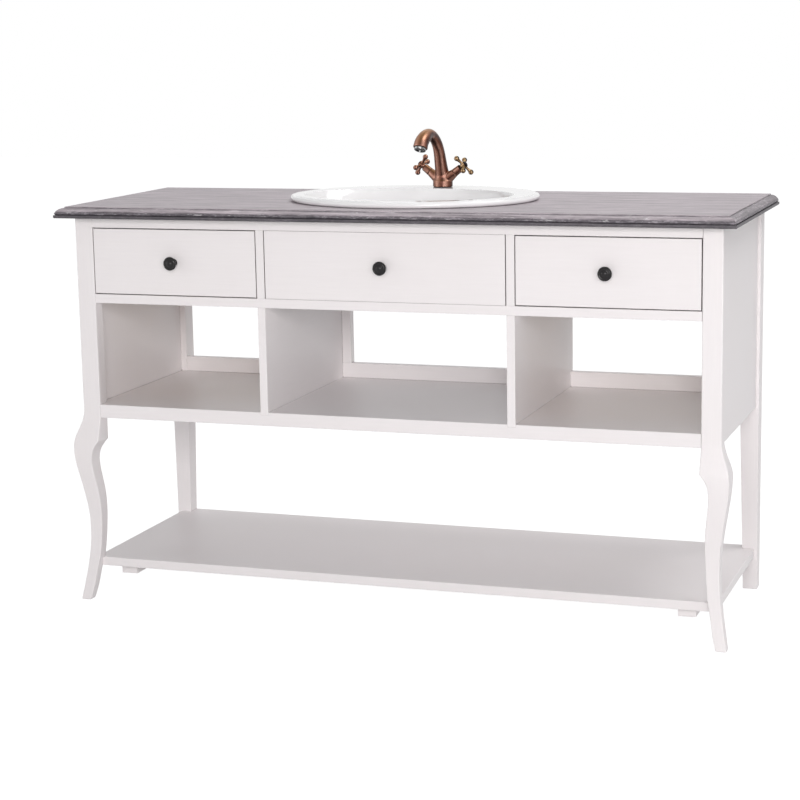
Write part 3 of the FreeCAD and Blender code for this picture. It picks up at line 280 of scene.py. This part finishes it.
def ramp(tree, factor, stops):
    """Colour or grey ramp. A stop is a place and a colour or a grey."""
    item = add(tree, "ValToRGB", {"Fac": factor})
    band = item.color_ramp
    while len(band.elements) < len(stops):
        band.elements.new(1.0)
    for element, (place, colour) in zip(band.elements, stops):
        element.position = place
        element.color = (*colour, 1) if isinstance(colour, tuple) else grey(colour)
    return item.outputs["Color"]


def grey(value):
    return (value, value, value, 1)


def blend_colours(tree, factor, first, second):
    """Mix two colours, each a link or a tuple."""
    item = add(tree, "Mix", data_type="RGBA")
    sockets = {"Factor_Float": factor, "A_Color": first, "B_Color": second}
    for socket in item.inputs:
        value = sockets.get(socket.identifier)
        if isinstance(value, tuple):
            socket.default_value = (*value, 1)
        elif value is not None:
            tree.links.new(value, socket)
    return item.outputs[2]


def calculate(tree, kind, first, second=0.0, third=0.0):
    return add(tree, "Math", {0: first, 1: second, 2: third}, operation=kind).outputs[0]


def multiply(tree, first, second):
    return calculate(tree, "MULTIPLY", first, second)


def share_out(tree, first, second, share):
    """Two values added up, the first by its share and the second by the rest."""
    return calculate(tree, "MULTIPLY_ADD", first, share, multiply(tree, second, 1 - share))


def to_share(tree, value):
    """A value between -1 and 1 as one between 0 and 1."""
    return calculate(tree, "MULTIPLY_ADD", value, 0.5, 0.5)


def step_up(tree, value, start, end):
    """0 below the start, 1 above the end and smooth between."""
    return add(tree, "MapRange", {"Value": value, "From Min": start, "From Max": end},
               interpolation_type="SMOOTHSTEP").outputs[0]


def bump(tree, shader, height, distance, strength):
    item = add(tree, "Bump", {"Height": height, "Distance": distance, "Strength": strength})
    tree.links.new(item.outputs[0], shader.inputs["Normal"])


# Camera, floor and light

def make_camera():
    """Camera at the photograph's place, looking along +Y before it is turned."""
    yaw, pitch, roll = CAMERA_YAW, CAMERA_PITCH, CAMERA_ROLL
    level_share = math.cos(pitch)
    ahead = Vector((-math.sin(yaw) * level_share, math.cos(yaw) * level_share, math.sin(pitch)))
    level = Vector((math.cos(yaw), math.sin(yaw), 0))
    above = level.cross(ahead)
    right = math.cos(roll) * level + math.sin(roll) * above
    up = math.cos(roll) * above - math.sin(roll) * level
    data = bpy.data.cameras.new("camera")
    data.sensor_width = SENSOR
    data.lens = SENSOR * FOCAL_SHARE
    camera = bpy.data.objects.new("camera", data)
    scene.collection.objects.link(camera)
    turn = Matrix((right, up, -ahead)).transposed().to_4x4()
    camera.matrix_world = Matrix.Translation(CAMERA_PLACE) @ turn
    scene.camera = camera


def make_lamp(name, place, size, power, colour):
    """Square soft light that looks at the stand."""
    data = bpy.data.lights.new(name, "AREA")
    data.size = size
    data.energy = power
    data.color = colour
    lamp = bpy.data.objects.new(name, data)
    scene.collection.objects.link(lamp)
    lamp.location = place
    sight = Vector(LAMP_TARGET) - Vector(place)
    lamp.rotation_euler = sight.to_track_quat("-Z", "Y").to_euler()


def seen_directly(tree):
    """1 for camera, glossy and transmission rays."""
    path = add(tree, "LightPath").outputs
    either = calculate(tree, "MAXIMUM", path["Is Camera Ray"], path["Is Glossy Ray"])
    return calculate(tree, "MAXIMUM", either, path["Is Transmission Ray"])


def make_world():
    """Plain pale surroundings, pure white where the camera or a mirror sees them."""
    world = bpy.data.worlds.new("studio")
    scene.world = world
    world.use_nodes = True
    tree = world.node_tree
    tree.nodes.clear()
    soft = add(tree, "Background", {"Color": SKY, "Strength": SKY_STRENGTH})
    white = add(tree, "Background", {"Color": WHITE, "Strength": 1.0})
    mix = add(tree, "MixShader", {0: seen_directly(tree), 1: soft.outputs[0], 2: white.outputs[0]})
    add(tree, "OutputWorld", {"Surface": mix.outputs[0]})


def make_floor():
    """Pale floor that shows white and keeps the object's shadow."""
    reach = FLOOR_REACH
    corners = [(-reach, -reach, 0), (reach, -reach, 0), (reach, reach, 0), (-reach, reach, 0)]
    mesh = bpy.data.meshes.new("floor")
    mesh.from_pydata(corners, [], [(0, 1, 2, 3)])
    floor = bpy.data.objects.new("floor", mesh)
    scene.collection.objects.link(floor)
    material = bpy.data.materials.new("floor")
    material.use_nodes = True
    tree = material.node_tree
    tree.nodes.clear()
    paper = add(tree, "BsdfDiffuse", {"Color": grey(FLOOR_PAPER)})
    glow = add(tree, "Emission", {"Color": WHITE, "Strength": FLOOR_GLOW})
    shadow = add(tree, "BsdfDiffuse", {"Color": grey(FLOOR_SHADOW)})
    lit = add(tree, "AddShader", {0: glow.outputs[0], 1: shadow.outputs[0]})
    mix = add(tree, "MixShader", {0: seen_directly(tree), 1: paper.outputs[0], 2: lit.outputs[0]})
    add(tree, "OutputMaterial", {"Surface": mix.outputs[0]})
    mesh.materials.append(material)


# Finishes

def make_paint(name, grain):
    """Satin off-white paint over wood: brush marks, soft clouding and painted shade in its nooks.
    """
    material, tree, shader = new_material(name, IOR=PAINT_IOR)
    strokes = noise(tree, position(tree, grain), *PAINT_STROKES)
    cloud = noise(tree, position(tree), *PAINT_CLOUD)
    tone = blend_colours(tree, strokes, *PAINT_TONES)
    tone = blend_colours(tree, ramp(tree, cloud, CLOUD_STOPS), tone, CLOUD_TONE)
    # Painted shade: occlusion darkens the paint in narrow gaps and inner corners
    nook = add(tree, "AmbientOcclusion", {"Distance": NOOK_REACH}, samples=NOOK_SAMPLES)
    nook_shade = ramp(tree, nook.outputs["AO"], NOOK_SHADE_STOPS)
    tone = blend_colours(tree, nook_shade, tone, NOOK_SHADE_TONE)
    tree.links.new(tone, shader.inputs["Base Color"])
    tree.links.new(ramp(tree, strokes, PAINT_ROUGHNESS), shader.inputs["Roughness"])
    bump(tree, shader, strokes, *PAINT_RELIEF)
    return material


def top_distances(tree):
    """How far a place on the worktop is in from its ends and front and down from its top."""
    place = add(tree, "SeparateXYZ", {0: own_place(tree)}).outputs
    from_end = calculate(tree, "SUBTRACT", TOP_HIGH.x, calculate(tree, "ABSOLUTE", place[0]))
    from_front = calculate(tree, "SUBTRACT", place[1], TOP_LOW.y)
    below = calculate(tree, "SUBTRACT", TOP_HIGH.z, place[2])
    return from_end, from_front, below


def board_grain(tree, at_end):
    """Place stretched along the boards, and across them on the moulding of the two ends."""
    along = add(tree, "Mix", {0: at_end}, data_type="VECTOR")
    tree.links.new(position(tree, ALONG_X), along.inputs[4])
    tree.links.new(position(tree, ALONG_Y), along.inputs[5])
    return along.outputs[1]


def stain_and_shade_left(tree, below, edge, at_end, worn):
    """How much of the dark stain and painted shade is left, with a ragged border where it is worn.
    """
    stain = ramp(tree, calculate(tree, "DIVIDE", below, TOP_THICKNESS), EDGE_STAIN_AND_SHADE)
    end_stain = multiply(tree, multiply(tree, at_end, edge), END_STAIN)
    stain = calculate(tree, "MAXIMUM", stain, end_stain)
    wear = calculate(tree, "SUBTRACT", 0.5, worn)
    ragged = calculate(tree, "MULTIPLY_ADD", wear, RAGGED_GAIN, stain)
    return multiply(tree, stain, ramp(tree, ragged, RAGGED_STOPS))


def make_top_finish():
    """Washed grey stain, streaked along the boards, darker on the moulding with stain and painted
    shade, and rubbed there.
    """
    material, tree, shader = new_material("grey_wash")
    from_end, from_front, below = top_distances(tree)
    at_end = multiply(tree, calculate(tree, "LESS_THAN", from_end, MOULDING),
                      calculate(tree, "LESS_THAN", from_end, from_front))
    grain = board_grain(tree, at_end)
    streaks = noise(tree, grain, *WASH_STREAKS)
    mixed = share_out(tree, streaks, noise(tree, grain, *WASH_FINE), STREAK_SHARE)
    mottle = noise(tree, position(tree, MOTTLE_STRETCH), *MOTTLE)
    worn = share_out(tree, mottle, mixed, MOTTLE_SHARE)
    edge = step_up(tree, below, QUIRK / 2, QUIRK)
    # Dark stain and painted shade down the moulding, by depth below the top
    tone = blend_colours(tree, stain_and_shade_left(tree, below, edge, at_end, worn),
                         ramp(tree, mixed, WASH_STOPS), ramp(tree, worn, STAIN_AND_SHADE_STOPS))

    marks = noise(tree, position(tree, RUB_STRETCH), *RUB)
    lip = step_up(tree, below, LIP_START_SHARE * TOP_THICKNESS, LIP_END_SHARE * TOP_THICKNESS)
    rub = multiply(tree, calculate(tree, "SUBTRACT", edge, lip), ramp(tree, marks, RUB_STOPS))
    tone = blend_colours(tree, rub, tone, RUB_TONE)
    # Painted shade on the lower lip of the moulding
    tone = blend_colours(tree, multiply(tree, lip, LIP_SHADE), tone, LIP_SHADE_TONE)
    tree.links.new(tone, shader.inputs["Base Color"])
    tree.links.new(ramp(tree, mixed, WASH_ROUGHNESS), shader.inputs["Roughness"])
    bump(tree, shader, mixed, *WASH_RELIEF)
    return material


def make_bare_wood():
    """Planed pale timber with its grain along the depth."""
    material, tree, shader = new_material("bare_wood", Roughness=TIMBER_ROUGHNESS)
    grain = noise(tree, position(tree, ALONG_Y), *TIMBER_GRAIN)
    tree.links.new(ramp(tree, grain, TIMBER_STOPS), shader.inputs["Base Color"])
    bump(tree, shader, grain, *TIMBER_RELIEF)
    return material


def make_glaze():
    """Glossy white glaze with the faintest clouding."""
    material, tree, shader = new_material("glaze", Roughness=GLAZE_ROUGHNESS,
                                          Coat_Weight=GLAZE_COAT)
    cloud = noise(tree, position(tree), *GLAZE_CLOUD)
    tree.links.new(blend_colours(tree, cloud, *GLAZE_TONES), shader.inputs["Base Color"])
    return material


def copper_tone(tree, tones):
    """Aged copper with painted reflections: light and dark bands by the way each form faces."""
    normal = normal_parts(tree)
    streaks = noise(tree, position(tree, STREAK_STRETCH), *COPPER_STREAKS)
    turn = calculate(tree, "MULTIPLY_ADD", calculate(tree, "SUBTRACT", streaks, 0.5), STREAK_SWAY,
                     to_share(tree, normal[0]))
    # Painted reflections: the tone follows the way the surface faces across the form
    tone = ramp(tree, turn, [(place, tones[shade]) for place, shade in COPPER_REFLECTION_BANDS])
    # Painted sheen: gold where the form faces up
    upward = ramp(tree, normal[2], UPWARD_SHEEN_STOPS)
    tone = blend_colours(tree, upward, tone, tones["gold"])
    # Painted shade: dark where the form faces down
    downward = ramp(tree, multiply(tree, normal[2], -1.0), DOWNWARD_SHADE_STOPS)
    return blend_colours(tree, downward, tone, SHADE_AND_GRIME_COPPER)


def finish_copper(tree, shader, tone):
    tree.links.new(tone, shader.inputs["Base Color"])
    marks = noise(tree, position(tree, MARK_STRETCH), *COPPER_MARKS)
    tree.links.new(ramp(tree, marks, COPPER_ROUGHNESS), shader.inputs["Roughness"])


def make_copper(name, tones):
    material, tree, shader = new_material(name, Metallic=1.0)
    finish_copper(tree, shader, copper_tone(tree, tones))
    return material


def make_seamed_copper(name, tones, centre):
    """Copper of the bonnets, whose two ends are dark where dirt has settled in the joints."""
    material, tree, shader = new_material(name, Metallic=1.0)
    away = add(tree, "VectorMath", {0: own_place(tree), 1: centre}, operation="DISTANCE")
    lengths = calculate(tree, "DIVIDE", away.outputs["Value"], SEAM_LENGTH)
    seam = ramp(tree, lengths, SEAM_BANDS)
    tone = copper_tone(tree, tones)
    finish_copper(tree, shader, blend_colours(tree, seam, tone, SHADE_AND_GRIME_COPPER))
    return material


def make_capped_copper(name, tones, joint):
    """Copper of a cross handle, whose cap at the end of the hub is black."""
    material, tree, shader = new_material(name, Metallic=1.0)
    axis = Vector(joint["axis"])
    start = axis.dot(Vector(joint["pos_m"])) + CAP_START
    along = add(tree, "VectorMath", {0: own_place(tree), 1: axis}, operation="DOT_PRODUCT")
    cap = calculate(tree, "GREATER_THAN", along.outputs["Value"], start)
    tone = copper_tone(tree, tones)
    finish_copper(tree, shader, blend_colours(tree, cap, tone, CAP_TONE))
    return material


def make_chrome():
    """Polished chrome with painted reflections in bands and painted shade where it faces down."""
    material, tree, shader = new_material("chrome", Metallic=1.0, Roughness=CHROME_ROUGHNESS)
    normal = normal_parts(tree)
    # Painted reflections in bands, and painted shade where the surface faces down
    tone = ramp(tree, to_share(tree, normal[0]), CHROME_REFLECTION_BANDS)
    low = step_up(tree, multiply(tree, normal[2], -1.0), CHROME_DARK_FROM, CHROME_DARK_AT)
    tree.links.new(blend_colours(tree, low, tone, CHROME_SHADE), shader.inputs["Base Color"])
    return material


def make_metal(name, colour, roughness):
    """Plain metal with fine marks."""
    material, tree, shader = new_material(name, Metallic=1.0)
    marks = noise(tree, position(tree), *METAL_MARKS)
    dark = tuple(METAL_DARK_SHARE * value for value in colour)
    tree.links.new(blend_colours(tree, marks, dark, colour), shader.inputs["Base Color"])
    levels = (roughness * METAL_SMOOTH_SHARE, roughness * METAL_ROUGH_SHARE)
    stops = list(zip(METAL_STOPS_AT, levels))
    tree.links.new(ramp(tree, marks, stops), shader.inputs["Roughness"])
    return material


def make_dull(name, dark, light, roughness, scale, gloss):
    """Dark enamel or rubber with fine mottling."""
    material, tree, shader = new_material(name, Roughness=roughness, Specular_IOR_Level=gloss)
    marks = noise(tree, position(tree), scale, MOTTLING_DETAIL)
    tree.links.new(blend_colours(tree, marks, dark, light), shader.inputs["Base Color"])
    return material


# One paint for each direction of the grain
PAINTS = [make_paint("paint_along_x", ALONG_X), make_paint("paint_along_y", ALONG_Y),
          make_paint("paint_along_z", ALONG_Z)]
FINISH = {
    "copper": make_copper("copper", PINK_COPPER), "grey_top": make_top_finish(),
    "bare_wood": make_bare_wood(), "glazed_ceramic": make_glaze(),
    "brass": make_metal("brass", *BRASS), "chrome": make_chrome(),
    "zinc_steel": make_metal("zinc_steel", *ZINC_STEEL),
    "black_knob": make_dull("black_knob", *KNOB_ENAMEL), "rubber": make_dull("rubber", *RUBBER)}
HOT_JOINT = JOINTS["hot_handle_turn"]
COLD_JOINT = JOINTS["cold_handle_turn"]
TAP_FINISH = {
    "hot_handle": make_capped_copper("copper_hot_handle", PINK_COPPER, HOT_JOINT),
    "cold_handle": make_capped_copper("copper_cold_handle", GOLD_COPPER, COLD_JOINT),
    "bonnets": make_seamed_copper("copper_bonnets", PINK_COPPER, HOT_JOINT["pos_m"])}


def paint_for(node):
    """The paint whose grain runs along the node's longest side."""
    low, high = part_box(node)
    size = high - low
    return PAINTS[max(range(3), key=lambda axis: size[axis])]


def finish_for(node):
    return TAP_FINISH.get(node) or FINISH.get(SLOT_OF[node]) or paint_for(node)


# Pieces that replace plain ones

def settle(item, node):
    """Apply a piece's modifiers, set it on its node's body and give it the node's finish."""
    depsgraph = bpy.context.evaluated_depsgraph_get()
    mesh = bpy.data.meshes.new_from_object(item.evaluated_get(depsgraph))
    mesh.shade_smooth()
    mesh.set_sharp_from_angle(angle=CREASE_ANGLE)
    item.modifiers.clear()
    item.data = mesh
    mesh.materials.clear()
    mesh.materials.append(finish_for(node))
    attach(item, BODY_OF[node])
    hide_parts(node)


def copy_of(node, suffix):
    """Copy of a node to work on, without the stored shading that a new shape would twist."""
    mesh = NODES[node].data.copy()
    for name in STORED_SHADING:
        if name in mesh.attributes:
            mesh.attributes.remove(mesh.attributes[name])
    item = bpy.data.objects.new(node + suffix, mesh)
    scene.collection.objects.link(item)
    return item


def in_pocket(face):
    """Whether a face meets another at an inward corner, as the walls of a mortise do."""
    return any(edge.is_manifold and not edge.is_convex and edge.calc_face_angle() > CORNER_ANGLE
               for edge in face.edges)


def mark_corners(mesh):
    """Weld a mesh, join its flat faces and mark its long outward corners for rounding."""
    shape = bmesh.new()
    shape.from_mesh(mesh)
    bmesh.ops.remove_doubles(shape, verts=shape.verts, dist=WELD)
    bmesh.ops.dissolve_limit(shape, angle_limit=FLAT_ANGLE, verts=shape.verts, edges=shape.edges)
    weight = shape.edges.layers.float.new("bevel_weight_edge")
    walls = {face for face in shape.faces if in_pocket(face)}
    for edge in shape.edges:
        if edge.is_manifold and edge.is_convex and edge.calc_face_angle() > CORNER_ANGLE:
            open_edge = edge.calc_length() > LEAST_EDGE and walls.isdisjoint(edge.link_faces)
            edge[weight] = 1.0 if open_edge else 0.0
    shape.to_mesh(mesh)
    shape.free()


def make_eased(node):
    """Wooden piece with its outward corners rounded off, as a joiner leaves them."""
    item = copy_of(node, ".eased")
    mark_corners(item.data)
    bevel = item.modifiers.new("ease", "BEVEL")
    bevel.limit_method = "WEIGHT"
    bevel.width = EASE.get(node, USUAL_EASE)
    bevel.segments = EASE_SEGMENTS
    bevel.use_clamp_overlap = False
    bevel.loop_slide = False
    settle(item, node)


def make_casting(node):
    """Piece whose forms run into each other, as they do in a casting."""
    item = copy_of(node, ".cast")
    remesh = item.modifiers.new("blend", "REMESH")
    remesh.mode = "VOXEL"
    remesh.voxel_size = CASTING_VOXEL
    smooth = item.modifiers.new("soften", "SMOOTH")
    smooth.iterations = CASTING_PASSES
    settle(item, node)


for node, item in NODES.items():
    item.data.materials.clear()
    item.data.materials.append(finish_for(node))
for node in list(NODES):
    if SLOT_OF[node] in EASED_SLOTS:
        make_eased(node)
make_casting("tap_body")

make_camera()
make_world()
make_floor()
for name, values in LAMPS.items():
    make_lamp(name, *values)

scene.view_settings.view_transform = "Standard"
